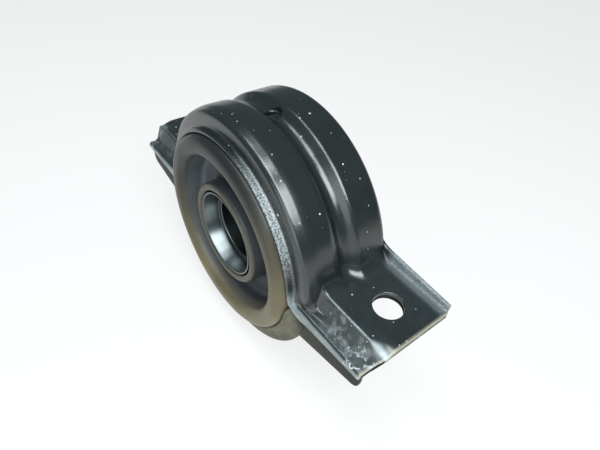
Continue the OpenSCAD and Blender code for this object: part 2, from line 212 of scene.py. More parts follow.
def sheet_shell(outer, sign):
    """A pressed sheet: the outer grid, an inner one SHEET below it, rounded rims along both sides and rounded ends.

    A rim follows half an ellipse from the outer point to the inner one, standing RIM out of the sheet, with four
    points. The ends do the same in three steps and are closed by quads between both grids.
    """
    cols = outer.shape[1]
    n = normals_of(outer) * sign
    inner = outer - SHEET * n
    middle = outer - SHEET / 2 * n
    rim_angles, end_angles = np.radians([36, 72, 108, 144]), np.radians([30, 55, 75])
    steps = len(rim_angles)

    def rim_points(k, step):
        way = outer[:, k] - outer[:, step]
        way /= np.linalg.norm(way, axis=-1, keepdims=True)
        return np.stack([middle[:, k] + SHEET / 2 * np.cos(a) * n[:, k] + RIM * np.sin(a) * way
                         for a in rim_angles], 1)

    front, back = rim_points(0, 1)[:, ::-1], rim_points(-1, -2)
    loop = np.concatenate([outer, back, inner[:, ::-1], front], 1)
    core = np.concatenate([middle, np.repeat(middle[:, -1:], steps, 1),
                           middle[:, ::-1], np.repeat(middle[:, :1], steps, 1)], 1)

    def end_loops(k, step):
        way = core[k] - core[step]
        way /= np.linalg.norm(way, axis=-1, keepdims=True)
        return [core[k] + (loop[k] - core[k]) * np.cos(a) + RIM * np.sin(a) * way for a in end_angles]

    loops = np.concatenate([np.stack(end_loops(0, 1)[::-1]), loop, np.stack(end_loops(-1, -2))])
    width = loops.shape[1]
    quads = loop_quads(len(loops), width)
    i = np.arange(cols - 1)
    b, f = cols, 2 * cols + steps
    partner = f - 1 - i
    cap = np.concatenate([
        np.stack([i, i + 1, partner - 1, partner], -1),
        [[b - 1, b, b + 3, b + 4], [b, b + 1, b + 2, b + 3]],
        [[0, f - 1, f, f + 3], [f, f + 1, f + 2, f + 3]]])
    last = (len(loops) - 1) * width
    quads = np.concatenate([quads, cap, cap[:, ::-1] + last])
    return loops.reshape(-1, 3), quads


def strip_shell(loops):
    """A closed strip from a row of closed loops, with quads across both ends."""
    rows, cols = loops.shape[:2]
    quads = loop_quads(rows, cols)
    i = np.arange(cols // 2 - 1)
    cap = np.stack([i, i + 1, cols - 2 - i, cols - 1 - i], -1)
    return loops.reshape(-1, 3), np.concatenate([quads, cap, cap[:, ::-1] + (rows - 1) * cols])


def drilled(piece, cutters):
    """Cuts holes through a piece: the exact difference with bars whose flares round the holes' edges."""
    for cutter in cutters:
        cut = piece.modifiers.new("hole", "BOOLEAN")
        cut.operation, cut.solver, cut.object = "DIFFERENCE", "EXACT", cutter
    bpy.context.view_layer.update()
    shape = bpy.data.meshes.new_from_object(piece.evaluated_get(bpy.context.evaluated_depsgraph_get()))
    piece.modifiers.clear()
    old = piece.data
    piece.data = shape
    bpy.data.meshes.remove(old)
    shape.name = piece.name
    for cutter in cutters:
        mesh = cutter.data
        bpy.data.objects.remove(cutter)
        bpy.data.meshes.remove(mesh)
    shape.set_sharp_from_angle(angle=np.radians(SHARP_DEG))


def round_bar(x, y, side, around=64):
    """An upright closed bar at (x, y), of around points, whose radius and height follow the rows of side."""
    t = np.linspace(0, 2 * np.pi, around, endpoint=False)
    loops = np.stack([x + np.outer(side[:, 0], np.cos(t)), y + np.outer(side[:, 0], np.sin(t)),
                      np.broadcast_to(side[:, 1:], (len(side), around))], -1)
    return strip_shell(loops)


def hole_cutter(x, y, r, low, high, flare=0.5, past=3.0):
    """A bar of radius r at (x, y) that flares by a quarter round at low and high and runs past the sheet."""
    a = np.linspace(0, np.pi / 2, 5)
    up = np.stack([r + flare - flare * np.cos(a), high - flare + flare * np.sin(a)], -1)
    down = np.stack([r + flare - flare * np.cos(a), low + flare - flare * np.sin(a)], -1)[::-1]
    side = np.concatenate([[[r + flare, low - past]], down, up, [[r + flare, high + past]]])
    return make_piece("cutter", [round_bar(x, y, side)])


def set_marks(piece, marks):
    """Numbers per point that the materials read: each is a formula over the points' x, y and z in millimetres."""
    mesh = piece.data
    points = np.empty(len(mesh.vertices) * 3)
    mesh.vertices.foreach_get("co", points)
    x, y, z = points.reshape(-1, 3).T / MM
    for name, formula in marks.items():
        values = np.broadcast_to(formula(x, y, z), x.shape).astype(np.float32)
        mesh.attributes.new(name, "FLOAT", "POINT").data.foreach_set("value", np.ascontiguousarray(values))


# Upper bracket

def bracket_marks():
    """Where the paint is dusty, grainy, scuffed or bare, and where light is painted on it, as formulas over x, y and
    z.

    The film is a level of dust, low on the arch and more on the pads and the front strips. On the front rims and the
    lip's front edge it is a pale film that paints their highlight, and on the rear flanges it is dust and painted
    light on their lit front faces. grain is on the lip's right and on the flanges, scuff on the front strips with
    scrapes where tip is set, and a thin pale line along the fold that widens towards the tip paints the fold's
    highlight. bare is the sheet's cut ends, whose warm cream is partly painted warm light from the floor, and dull is
    where the gloss is lost. Scuffs, scrapes and the fold's painted highlight are weaker on the left ear.
    """
    rim_y, arch_dust = -21.6, 0.006

    def ear(x, z):
        return ease((np.abs(x) - 64) / 5) * (z < 17)

    def near(x):
        return np.where(x > 0, 1.0, 0.35)

    def flange(y, z):
        return ease((y - 23.4) / 0.8) * ease((z - 8.9) / 1.2)

    def dust_and_painted_light(x, y, z):
        strip = ease((-11.5 - y) / 2)
        rim = ease((rim_y - y) / 0.8)
        foot = ease((y - 19.5) / 4) * ease((z - 8) / 0.8)
        # On the rear flanges the film is dust and painted light on their lit front faces.
        on_ear = 0.020 + 0.015 * strip + 0.15 * flange(y, z) + 0.06 * foot
        # front is a pale film on the front rims and the lip's front edge that paints their highlight.
        front = 0.36 * rim * ease((10 - z) / 7) * ease((np.abs(x) - 50) / 5)
        return np.maximum(arch_dust + (on_ear - arch_dust) * ear(x, z), front)

    def grain(x, y, z):
        on_lip = np.abs(np.hypot(x, z) - LIP_R - 0.35) < 1.15
        lip = ease((rim_y - y) / 0.6) * on_lip * ease((z - 10) / 22) * ease((x - 8) / 26)
        return np.maximum(lip, 0.5 * flange(y, z) * ear(x, z))

    def scuff(x, y, z):
        return near(x) * ease((np.abs(x) - 66) / 12) * ease((-11.8 - y) / 1.5) * ease((y + 21.2) / 0.8)

    def tip(x, y, z):
        return near(x) * ease((np.abs(x) - 86) / 9) * ease((-9.5 - y) / 3) * (z > -2.5)

    # Painted highlight: a pale line along the fold that widens towards the tip.
    def fold_highlight(x, y, z):
        along = np.abs(x)
        wide = 0.4 + 1.3 * ease((along - 91) / 6)
        line = np.exp(-((y - FOLD_Y - 0.5 - 0.5 * wide) / wide) ** 2) * (z > 4)
        return near(x) * line * ease((along - 66) / 4) * (0.5 + 0.5 * ease((along - 92) / 4))

    # The cut ends are bare; their warm cream colour is partly painted warm light from the floor.
    def bare(x, y, z):
        end = STRIP_END + (EAR_END - STRIP_END) * np.clip(z / PAD_Z, 0, 1)
        return ease((np.abs(x) - end + 0.1) / 0.2)

    def dull(x, y, z):
        return np.maximum(scuff(x, y, z), ease((y - 20.5) / 2) * ear(x, z) * (z > 7.5))

    return {"dust_and_painted_light": dust_and_painted_light, "grain": grain, "scuff": scuff, "tip": tip, "fold_highlight": fold_highlight, "bare": bare, "dull": dull}


def upper_bracket():
    """The arch with its front lip, shoulder, groove, rear band and turned-in rear lip, the ears and their flanges.

    Every section point has a place on the arch, as (radius, y), and one on the ear, as (z, y). From the shoulder to
    the rear band both have the same y, so the strip, the wall and the pad run straight into the arch. Ahead of that
    the lip becomes the ear's front rim, and behind it the turned-in lip ends in the pad's rear edge. ear_paths
    carries every point from one to the other. At its tip end the fold dips.
    """
    ga, gb, gc, gd = GROOVE_YS
    shoulder, crown, crown_rear_r = (61.9, -20.9), (63.5, -15.2), 63.3
    lip_foot, wall_front, strip_foot, split = -21.7, -22.0, -17.11, -16.0
    band_y, pad_rear = 22.0, REAR_Y - RIM
    strip_bend, rim_bend = 3.0, 7.0
    dip, dip_x, dip_long, dip_wide = 1.8, 91.0, 11.0, 4.0
    arch_line = filleted([shoulder, crown, (crown_rear_r, ga), (GROOVE_R, gb), (GROOVE_R, gc), (BAND_R, gd),
                          (BAND_R, band_y + 1)], [0, 18, 7.0, 3.5, 5.6, 2.6, 0], arc=24)
    front_r = np.interp(split, arch_line[:, 1], arch_line[:, 0])
    wall_line = filleted([(STRIP_Z, wall_front), (STRIP_Z, FOOT_Y), (PAD_Z, FOLD_Y), (PAD_Z, pad_rear)],
                         [0, 4.0, 1.8, 0], arc=24)
    stops, counts = (split, -11.0, -8.0, 10.5, band_y), (24, 4, 40, 8)
    y_mid = np.concatenate([np.linspace(a, b, n)[1:] for a, b, n in zip(stops, stops[1:], counts)])
    wall_z = np.interp(split, wall_line[:, 1], wall_line[:, 0])
    arch = np.concatenate([
        filleted([(LIP_R, FRONT_Y + RIM), (LIP_R, lip_foot), shoulder, (front_r, split)], [0, 1.3, 3.0, 0], 10, 5),
        np.stack([np.interp(y_mid, arch_line[:, 1], arch_line[:, 0]), y_mid], -1),
        filleted([(BAND_R, band_y), (BAND_R, REAR_Y), (REAR_LIP_R + RIM, REAR_Y)], [0, 3.2, 0], 8, 3)[1:]])

    def ear(drop):
        return np.concatenate([
            filleted([(-drop, EAR_FRONT_Y), (STRIP_Z, EAR_FRONT_Y), (STRIP_Z, strip_foot), (wall_z, split)],
                     [0, 2.2, 3.6, 0], 10, 5),
            np.stack([np.interp(y_mid, wall_line[:, 1], wall_line[:, 0]), y_mid], -1),
            filleted([(PAD_Z, band_y), (PAD_Z, pad_rear - 1), (PAD_Z, pad_rear)], [0, 0, 0], 8, 3)[1:]])

    root, tip = ear(RIM_DROP_ROOT), ear(RIM_DROP_TIP)
    share = np.clip((root[:, 0] - STRIP_Z) / (PAD_Z - STRIP_Z), 0, 1)
    lowered = np.clip(-root[:, 0] / RIM_DROP_ROOT, 0, 1)
    x_end = STRIP_END + (EAR_END - STRIP_END) * share
    bend = strip_bend + (BEND_R - strip_bend) * share + (rim_bend - strip_bend) * lowered
    half = ear_paths(arch[:, 0], bend, root[:, 0], tip[:, 0], x_end, arch[:, 1], root[:, 1], (56, 18, 36))
    outer = both_halves(half)
    x, y = np.abs(outer[..., 0]), outer[..., 1]
    outer[..., 2] -= dip * ease((x - dip_x) / dip_long) * np.exp(-((y - FOLD_Y - 1.5) / dip_wide) ** 2)
    piece = make_piece("upper_pressing", [sheet_shell(outer, -1), rear_flange(1), rear_flange(-1)])
    drilled(piece, [hole_cutter(HOLE_X, HOLE_Y, HOLE_R, PAD_Z - SHEET, PAD_Z),
                    hole_cutter(-HOLE_X, HOLE_Y, HOLE_R, PAD_Z - SHEET, PAD_Z),
                    hole_cutter(0, CROWN_Y, CROWN_R, GROOVE_R - SHEET, GROOVE_R)])
    set_marks(piece, bracket_marks())
    return piece


def rear_flange(side):
    """The flange that stands up along an ear's rear edge: a closed section carried along the ear and into the arch.

    On the ear the section is a foot that rises from the pad in a concave round, a straight face, a rounded top and
    a back that rounds under the pad. On the arch the same points lie inside the band's sheet, closer together, so
    the flange fades there.
    """
    a, t = np.linspace(0, np.pi / 2, 7), np.linspace(0, np.pi, 9)
    foot_r, cap_r, back_r, half = 2.5, 0.9, 3.4, SHEET / 2
    first_y, arch_y, closer = 20.6, 21.0, 0.55
    lift, back_z, inset, sunk, full_height = 0.05, 1.5, 0.2, 0.8, 7.0

    def section(top):
        rise = np.stack([PAD_Z + lift + foot_r * (1 - np.cos(a)), REAR_Y - half - foot_r * (1 - np.sin(a))], -1)
        cap = np.stack([top - cap_r * (1 - np.sin(t)), REAR_Y - half * np.cos(t)], -1)
        under = np.stack([PAD_Z + back_z - back_r * np.sin(a), REAR_Y + half - back_r * (1 - np.cos(a))], -1)
        mid_up = np.linspace(rise[-1], cap[0], 5)[1:-1]
        mid_down = np.linspace(cap[-1], under[0], 6)[1:-1]
        toe = [(PAD_Z - 1.0, first_y), (PAD_Z - 0.4, first_y + 0.2)]
        return np.concatenate([toe, rise, mid_up, cap, mid_down, under])

    root, tip = section(FLANGE_ROOT_Z), section(FLANGE_TIP_Z)
    height = np.clip((root[:, 0] - PAD_Z) / full_height, 0, 1)
    r = BAND_R - sunk - sunk * height
    y_arch = arch_y + (root[:, 1] - first_y) * closer
    bend, x_end = np.full(len(r), BEND_R), np.full(len(r), EAR_END - inset)
    path = ear_paths(r, bend, root[:, 0], tip[:, 0], x_end, y_arch, root[:, 1], (12, 14, 26),
                     top=34.0, before=4.0, after=0.0)
    return strip_shell(path * np.array([side, 1, 1]))


# Lower bracket

def lower_bracket():
    """The lower ring with its ears nested under the upper ones, drawn upside down by ear_paths too.

    Points bound for the pad go back to it below the bend, so that they stay under the upper half's front strip.
    """
    ga, gb, gc, gd = GROOVE_YS
    lip_foot, shoulder_y, strip_front, pad_ys = -23.5, -21.9, -18.9, (*GROOVE_YS, 24.4, 25.1)
    bend_r, pad_before, pad_after = 4.5, 12.0, -8.0
    ring = filleted(
        [(LIP_R, FRONT_Y + RIM), (LIP_R, lip_foot), (ARCH_R, shoulder_y), (ARCH_R, ga), (GROOVE_R, gb),
         (GROOVE_R, gc), (BAND_R, gd), (BAND_R, REAR_Y), (REAR_LIP_R + RIM, REAR_Y)],
        [0, 1.3, 2.6, 4.0, 3.2, 3.2, 3.0, 3.2, 0])
    low, high = NEST + SHEET - STRIP_Z, NEST + SHEET - PAD_Z
    pad = [(high, y) for y in pad_ys]
    under = filleted([(low, strip_front), (low, FOOT_Y + NEST_Y), (high, FOLD_Y + NEST_Y), *pad],
                     [0, 2.4, 2.4, 0, 0, 0, 0, 0, 0])
    share = np.clip((low - under[:, 0]) / (low - high), 0, 1)
    x_end = STRIP_END + (EAR_END - STRIP_END) * share
    bend = np.full(len(share), bend_r)
    half = ear_paths(ring[:, 0], bend, under[:, 0], under[:, 0], x_end, ring[:, 1], under[:, 1], (56, 12, 26),
                     before=pad_before * share, after=pad_after * share)
    outer = both_halves(half) * np.array([1, 1, -1])
    piece = make_piece("lower_pressing", [sheet_shell(outer, 1), lower_skirt(1), lower_skirt(-1)])
    drilled(piece, [hole_cutter(s * HOLE_X, HOLE_Y, HOLE_R, PAD_Z - NEST - SHEET, PAD_Z - NEST) for s in (1, -1)])
    set_marks(piece, {"dust_and_painted_light": lower_dust_and_shade})
    return piece


def lower_dust_and_shade(x, y, z):
    """Dust and painted light on the lower half: the ears' ends lightest, partly from painted warm floor light, much
    dust on the ring, and little on the skirts, which are darkest just below the upper rims, where a shadow is
    painted.
    """
    ring_dust, end_dust_and_light = 0.19, 0.3
    x = np.abs(x)
    rim_z = -RIM_DROP_ROOT + (RIM_DROP_ROOT - RIM_DROP_TIP) * (x - ROOT_X) / (TIP_X - ROOT_X)
    # Painted shadow: the skirts stay darkest just below the upper rims, with a little dust further down.
    skirt_dust_and_shade = 0.006 + 0.04 * ease((rim_z - 0.9 - z) / 2.5)
    # The ears' ends are light: bare edges, partly painted warm light from the floor.
    end = end_dust_and_light * ease((x - EAR_END + 0.1) / 0.2)
    return np.maximum(skirt_dust_and_shade + (ring_dust - skirt_dust_and_shade) * ease((63 - x) / 8), end)


def lower_skirt(side):
    """The skirt turned down along an ear's front: an upright plate whose straight lower edge falls towards the ring.

    The edge's depth grows in a straight line from the tip, where it ends in a quarter round, to the ring.
    """
    start, end, tip_r = 57.65, 97.5, 3.5
    depth_tip, depth_ring, top, edge_r = 13.8, 23.0, 2.5, 0.8
    rows = 10
    quarter = np.sin(np.linspace(0, np.pi / 2, 9)[1:])
    x = np.concatenate([np.linspace(start, end - tip_r, 40), end - tip_r + tip_r * quarter])
    depth = depth_tip + (depth_ring - depth_tip) * (end - x) / (end - start)
    depth -= tip_r - np.sqrt(np.clip(tip_r ** 2 - np.clip(x - end + tip_r, 0, tip_r) ** 2, 0, None))
    t = np.linspace(0, np.pi, 8)[1:-1]
    h = np.linspace(0, 1, rows)[:, None]
    face_z = -(top + (depth - edge_r - top) * h)
    edge_z = -(depth - edge_r + edge_r * np.sin(t[:, None]))
    z = np.concatenate([face_z, edge_z, face_z[::-1]]).T
    y_front, y_back = EAR_FRONT_Y + NEST, EAR_FRONT_Y + NEST + SHEET
    y = np.concatenate([np.full(rows, y_front), (y_front + y_back) / 2 - np.cos(t), np.full(rows, y_back)])
    return strip_shell(np.stack([np.broadcast_to(x[:, None], z.shape) * side, np.broadcast_to(y, z.shape), z], -1))


# Cushion and sleeves

def rubber_cushion():
    """The moulded cushion turned about the shaft: front roll, recess, collar, body under the sheet and rear roll.

    A small domed pip that fills the crown hole is turned about an upright axis.
    """
    collar_in, collar, mouth, recess, seat = 23.3, 27.6, 42.0, 40.5, 38.06
    neck, body, shoulder, rear_roll = 52.5, 57.8, 61.8, 56.8
    front, collar_front, floor_front, seat_front = -28.9, -26.0, -14.3, -11.2
    rear, collar_rear, floor_rear, seat_rear = 27.9, 22.0, 13.7, 10.7
    neck_y, step_y, shoulder_y, back_y = -17.9, 4.3, 10.5, 23.3
    corners = [
        (collar_in, floor_front), (collar_in, collar_front), (collar, collar_front), (collar, floor_front),
        (recess, floor_front), (mouth, front), (neck, front), (neck, neck_y), (body, neck_y), (body, step_y),
        (shoulder, shoulder_y), (shoulder, back_y), (rear_roll, back_y), (rear_roll, rear), (mouth, rear),
        (recess, floor_rear), (collar, floor_rear), (collar, collar_rear), (collar_in, collar_rear),
        (collar_in, seat_rear), (seat, seat_rear), (seat, seat_front), (collar_in, seat_front)]
    radii = [0, 1.9, 1.9, 3.2, 3.2, 4.6, 4.6, 0, 1.5, 1.5, 1.5, 1.5, 0, 3.5, 4, 3, 3, 1.9, 1.9, 0, 0, 0, 0]
    pip = np.array([(3.6, 55.0), (3.78, 55.2), (3.78, 57.0), (3.72, 57.6), (3.5, 58.1), (3.0, 58.5), (2.2, 58.75),
                    (1.2, 58.9), (0.4, 58.95)])
    piece = make_piece("cushion", [lathe(closed_outline(corners, radii), 216), round_bar(0, CROWN_Y, pip)])
    set_marks(piece, cushion_marks())
    return piece


def cushion_marks():
    """Where the cushion's front gets painted light or a tint, as formulas over x, y and z.

    low is painted warm light from the floor on the roll, growing downwards and to the right; recess is a painted
    bluish sheen in the recess, strongest on its lit left side; and rim tints the collar's edge.
    """
    # Painted light: the roll is lighter and warmer downwards and to the right, as lit by the floor.
    def low(x, y, z):
        return ease((46 - z + 0.35 * x) / 90) * (y < 0) * (np.hypot(x, z) > 41)

    # Painted sheen: a bluish light in the recess, strongest on its lit left side.
    def recess(x, y, z):
        share = 0.78 + 0.5 * ease((-x - 10) / 18)
        return share * ease((y + 27.5) / 5) * (y < 0) * (np.abs(np.hypot(x, z) - 35.2) < 8)

    def rim(x, y, z):
        return ease((-24.5 - y) / 1.2) * (np.hypot(x, z) < 28.1)

    return {"low": low, "recess": recess, "rim": rim}


def painted_bore_shade(x, y, z):
    """Painted shade deep in the bore and in the corner at a cup's foot, and a little on the cup's edge, dimming its
    highlight.
    """
    r, y = np.hypot(x, z), np.abs(y)
    deep = ease((18.6 - r) / 0.8) * ease((11.5 - y) / 3)
    corner = np.exp(-((y - 17.6) / 0.9) ** 2) * (r < 20.6)
    edge = 0.55 * ease((r - 21.5) / 0.4) * (y > 12)
    return np.maximum(np.maximum(deep, corner), edge)


def slinger(name, side, rim):
    """A steel sleeve that opens into a flared cup inside the collar, turned about the shaft.

    side is -1 at the front and 1 at the rear, and rim the distance of the cup's edge from the bearing's centre.
    """
    bore, wall, near, out, foot, cup = 17.5, 20.0, 8.5, 17.0, 20.8, 22.8
    web, skin = 1.6, 1.0
    outline = closed_outline(
        [(bore, near), (wall, near), (wall, out - web), (foot, out - web), (cup, rim), (cup - skin, rim),
         (foot - skin, out), (bore, out)],
        [0.2, 0.2, 0.1, 0.3, 0.3, 0.3, 1.4, 0.6])
    piece = make_piece(name, [lathe(outline * np.array([1, side]), 160)])
    set_marks(piece, {"bore": painted_bore_shade})
    return piece


def race_ring():
    """The inner race: a ring with small chamfers and a ball track on its outside, an arc about the pitch circle."""
    bore, side, land, half = 17.5, 22.9, 23.26, 8.5
    pitch_r, track_r = 26.75, 5.75
    cut, bore_cut = 0.4, 0.5
    a = np.linspace(np.radians(127.2), np.radians(232.8), 20)
    track = np.stack([pitch_r + track_r * np.cos(a), track_r * np.sin(a)], -1)[::-1]
    front = [(bore + bore_cut, -half), (side, -half), (land, cut - half)]
    rear = [(land, half - cut), (side, half), (bore + bore_cut, half)]
    inside = [(bore, half - bore_cut), (bore, 0.0), (bore, bore_cut - half)]
    outline = np.concatenate([front, track, rear, inside])
    piece = make_piece("inner_ring", [lathe(outline, 160)], sharp_deg=25)
    set_marks(piece, {"bore": painted_bore_shade})
    return piece


# Materials

def node_tree(name):
    """A new material with its shader and the Object coordinates that its patterns read."""
    material = bpy.data.materials.new(name)
    material.use_nodes = True
    tree = material.node_tree
    return material, tree, tree.nodes["Principled BSDF"], tree.nodes.new("ShaderNodeTexCoord").outputs["Object"]


def noise(tree, where, scale, detail=4.0, rough=0.55):
    """Fractal noise over the object's coordinates."""
    node = tree.nodes.new("ShaderNodeTexNoise")
    node.inputs["Scale"].default_value = scale
    node.inputs["Detail"].default_value = detail
    node.inputs["Roughness"].default_value = rough
    tree.links.new(where, node.inputs["Vector"])
    return node.outputs["Fac"]


def ramp(tree, value, low, high, out_low=0.0, out_high=1.0):
    """Maps low..high of a value to out_low..out_high, clamped."""
    node = tree.nodes.new("ShaderNodeMapRange")
    for k, v in zip(("From Min", "From Max", "To Min", "To Max"), (low, high, out_low, out_high)):
        node.inputs[k].default_value = v
    tree.links.new(value, node.inputs["Value"])
    return node.outputs["Result"]


def math_node(tree, operation, a, b):
    """One arithmetic step; a and b are sockets or numbers."""
    node = tree.nodes.new("ShaderNodeMath")
    node.operation = operation
    for socket, v in zip(node.inputs, (a, b)):
        if isinstance(v, (int, float)):
            socket.default_value = v
        else:
            tree.links.new(v, socket)
    return node.outputs["Value"]


def mix_colour(tree, factor, a, b):
    """Mixes two colours, sockets or tuples, by a factor."""
    node = tree.nodes.new("ShaderNodeMix")
    node.data_type = "RGBA"
    tree.links.new(factor, node.inputs["Factor"])
    for k, v in ((6, a), (7, b)):
        if isinstance(v, tuple):
            node.inputs[k].default_value = (*v, 1)
        else:
            tree.links.new(v, node.inputs[k])
    return node.outputs[2]


def specks(tree, where, scale, radius, share):
    """Round specks in a share of the cells of a Voronoi pattern, radius being in cells."""
    cells = tree.nodes.new("ShaderNodeTexVoronoi")
    cells.inputs["Scale"].default_value = scale
    tree.links.new(where, cells.inputs["Vector"])
    split = tree.nodes.new("ShaderNodeSeparateColor")
    tree.links.new(cells.outputs["Color"], split.inputs["Color"])
    chosen = math_node(tree, "LESS_THAN", split.outputs["Red"], share)
    reach = ramp(tree, split.outputs["Green"], 0, 1, 0.4 * radius, radius)
    inside = math_node(tree, "SUBTRACT", reach, cells.outputs["Distance"])
    return math_node(tree, "MULTIPLY", chosen, ramp(tree, inside, 0, 0.4 * radius))


def mark(tree, name):
    """A piece's own number per point."""
    node = tree.nodes.new("ShaderNodeAttribute")
    node.attribute_name = name
    return node.outputs["Fac"]


def bump(tree, height, strength, distance):
    """A bump from a height value."""
    node = tree.nodes.new("ShaderNodeBump")
    node.inputs["Strength"].default_value = strength
    node.inputs["Distance"].default_value = distance
    tree.links.new(height, node.inputs["Height"])
    return node.outputs["Normal"]


def bracket_paint(name, rough, shine, dust_and_light_colour):
    """Gloss black paint with orange peel under a film of dust that in places paints light or shade, with specks, a
    grainy lip, scuffed front strips and a painted highlight along the fold.

    The dust and painted light, grain, scuff, tip, fold highlight, bare and dull marks are the pieces' own; one that a
    piece lacks reads as 0.
    """
    material, tree, shader, where = node_tree(name)
    link = tree.links.new

    def times(*factors):
        product = factors[0]
        for factor in factors[1:]:
            product = math_node(tree, "MULTIPLY", product, factor)
        return product

    black, blue_black = (0.006, 0.0085, 0.009), (0.013, 0.017, 0.018)
    lit_cut_edge, pale = (0.58, 0.55, 0.42), (0.60, 0.66, 0.69)
    dust_and_painted_light = times(mark(tree, "dust_and_painted_light"), ramp(tree, noise(tree, where, 75, 8, 0.72), 0.3, 0.7, 0.35, 1.65))
    sand = noise(tree, where, 1600, 3)
    lip = times(mark(tree, "grain"), ramp(tree, sand, 0.40, 0.62, 0.08, 0.95), 0.75)
    streak = math_node(tree, "ABSOLUTE", math_node(tree, "SUBTRACT", noise(tree, where, 130, 5, 0.6), 0.5), 0)
    scrape = times(mark(tree, "tip"), ramp(tree, streak, 0.042, 0.01),
                   ramp(tree, noise(tree, where, 60, 3), 0.47, 0.57))
    smear = times(mark(tree, "scuff"), ramp(tree, noise(tree, where, 260, 6, 0.7), 0.48, 0.70), 0.30)
    flecks = times(mark(tree, "scuff"), specks(tree, where, 480, 0.3, 0.45), 0.7)
    # Pale painted highlight along the fold.
    fold_shine = times(mark(tree, "fold_highlight"), ramp(tree, noise(tree, where, 210, 4), 0.35, 0.6, 0.45, 1.0))
    light = math_node(tree, "MAXIMUM", specks(tree, where, 190, 0.13, 0.6), specks(tree, where, 330, 0.13, 0.3))
    for trace in (lip, scrape, smear, flecks, fold_shine):
        light = math_node(tree, "MAXIMUM", light, trace)
    cloud = mix_colour(tree, noise(tree, where, 28, 3), black, blue_black)
    # The film's colour is dust and painted light: the highlight on the front rims, light on the flanges, and on the
    # lower half warm light at the ears' ends and shade under the upper rims.
    dusted_and_lit = mix_colour(tree, dust_and_painted_light, cloud, dust_and_light_colour)
    # Warm cream on the cut ends: bare edges, partly painted warm floor light.
    dusted_and_lit = mix_colour(tree, times(mark(tree, "bare"), 0.55), dusted_and_lit, lit_cut_edge)
    link(mix_colour(tree, light, dusted_and_lit, pale), shader.inputs["Base Color"])
    even = ramp(tree, noise(tree, where, 45, 4), 0.3, 0.7, rough - 0.05, rough + 0.05)
    rubbed = times(math_node(tree, "MAXIMUM", mark(tree, "dull"), light), 0.45)
    link(math_node(tree, "ADD", even, rubbed), shader.inputs["Roughness"])
    peel = math_node(tree, "ADD", noise(tree, where, 160, 2), times(sand, mark(tree, "grain"), 1.5))
    link(bump(tree, peel, 0.12, 0.0006), shader.inputs["Normal"])
    shader.inputs["Specular IOR Level"].default_value = shine
    return material


def cushion_rubber():
    """Satin moulded rubber with a fine grain and blotchy tints: painted warm floor light where the low mark is set,
    a painted bluish sheen where the recess mark is set, and an olive tint on the collar's edge where the rim mark is
    set.
    """
    material, tree, shader, where = node_tree("cushion_rubber")
    link = tree.links.new
    colour = mix_colour(tree, noise(tree, where, 35, 4), (0.016, 0.017, 0.018), (0.026, 0.027, 0.028))
    blots = ramp(tree, noise(tree, where, 50, 5), 0.3, 0.7, 0.6, 1.0)
    # The low and recess tints paint light: warm floor light on the roll and a bluish sheen in the recess.
    for name, level, tint in (
        ("low", 0.6, (0.295, 0.242, 0.128)),
        ("recess", 0.8, (0.112, 0.125, 0.148)),
        ("rim", 0.6, (0.140, 0.132, 0.090)),
    ):
        share = math_node(tree, "MULTIPLY", math_node(tree, "MULTIPLY", mark(tree, name), blots), level)
        colour = mix_colour(tree, share, colour, tint)
    link(colour, shader.inputs["Base Color"])
    shader.inputs["Specular IOR Level"].default_value = 0.3
    link(ramp(tree, noise(tree, where, 60, 3), 0.3, 0.7, 0.32, 0.42), shader.inputs["Roughness"])
    link(bump(tree, noise(tree, where, 700, 3), 0.06, 0.0004), shader.inputs["Normal"])
    return material


def plain_steel(name, colour, rough):
    """Bare steel with faint turning marks round the shaft and stains, with painted shade where the bore mark is set.
    """
    stretch, bore_shade = 14, (0.045, 0.055, 0.056)
    material, tree, shader, where = node_tree(name)
    link = tree.links.new
    split = tree.nodes.new("ShaderNodeSeparateXYZ")
    link(where, split.inputs["Vector"])
    squares = [math_node(tree, "MULTIPLY", split.outputs[k], split.outputs[k]) for k in ("X", "Z")]
    radius = math_node(tree, "SQRT", math_node(tree, "ADD", *squares), 0)
    join = tree.nodes.new("ShaderNodeCombineXYZ")
    link(math_node(tree, "MULTIPLY", radius, stretch), join.inputs["X"])
    link(math_node(tree, "MULTIPLY", split.outputs["Y"], stretch), join.inputs["Y"])
    rings = noise(tree, join.outputs["Vector"], 220, 3)
    stained = mix_colour(tree, noise(tree, where, 80, 4), tuple(0.9 * c for c in colour), colour)
    # Painted shade: dark where the bore mark is set, deep in the bore and in the cups' corners and edges.
    link(mix_colour(tree, mark(tree, "bore"), stained, bore_shade), shader.inputs["Base Color"])
    shader.inputs["Metallic"].default_value = 1.0
    link(ramp(tree, rings, 0.3, 0.7, rough - 0.02, rough + 0.02), shader.inputs["Roughness"])
    link(bump(tree, rings, 0.015, 0.0002), shader.inputs["Normal"])
    return material


def seal_rubber():
    """Matt black seal rubber with a fine moulded grain."""
    material, tree, shader, where = node_tree("seal_rubber")
    link = tree.links.new
    colour = mix_colour(tree, noise(tree, where, 60, 4), (0.014, 0.014, 0.015), (0.026, 0.026, 0.027))
    link(colour, shader.inputs["Base Color"])
    link(ramp(tree, noise(tree, where, 90, 3), 0.3, 0.7, 0.5, 0.66), shader.inputs["Roughness"])
    link(bump(tree, noise(tree, where, 900, 2), 0.1, 0.0003), shader.inputs["Normal"])
    return material


def dress(piece, material):
    """Gives a piece its material."""
    piece.data.materials.clear()
    piece.data.materials.append(material)


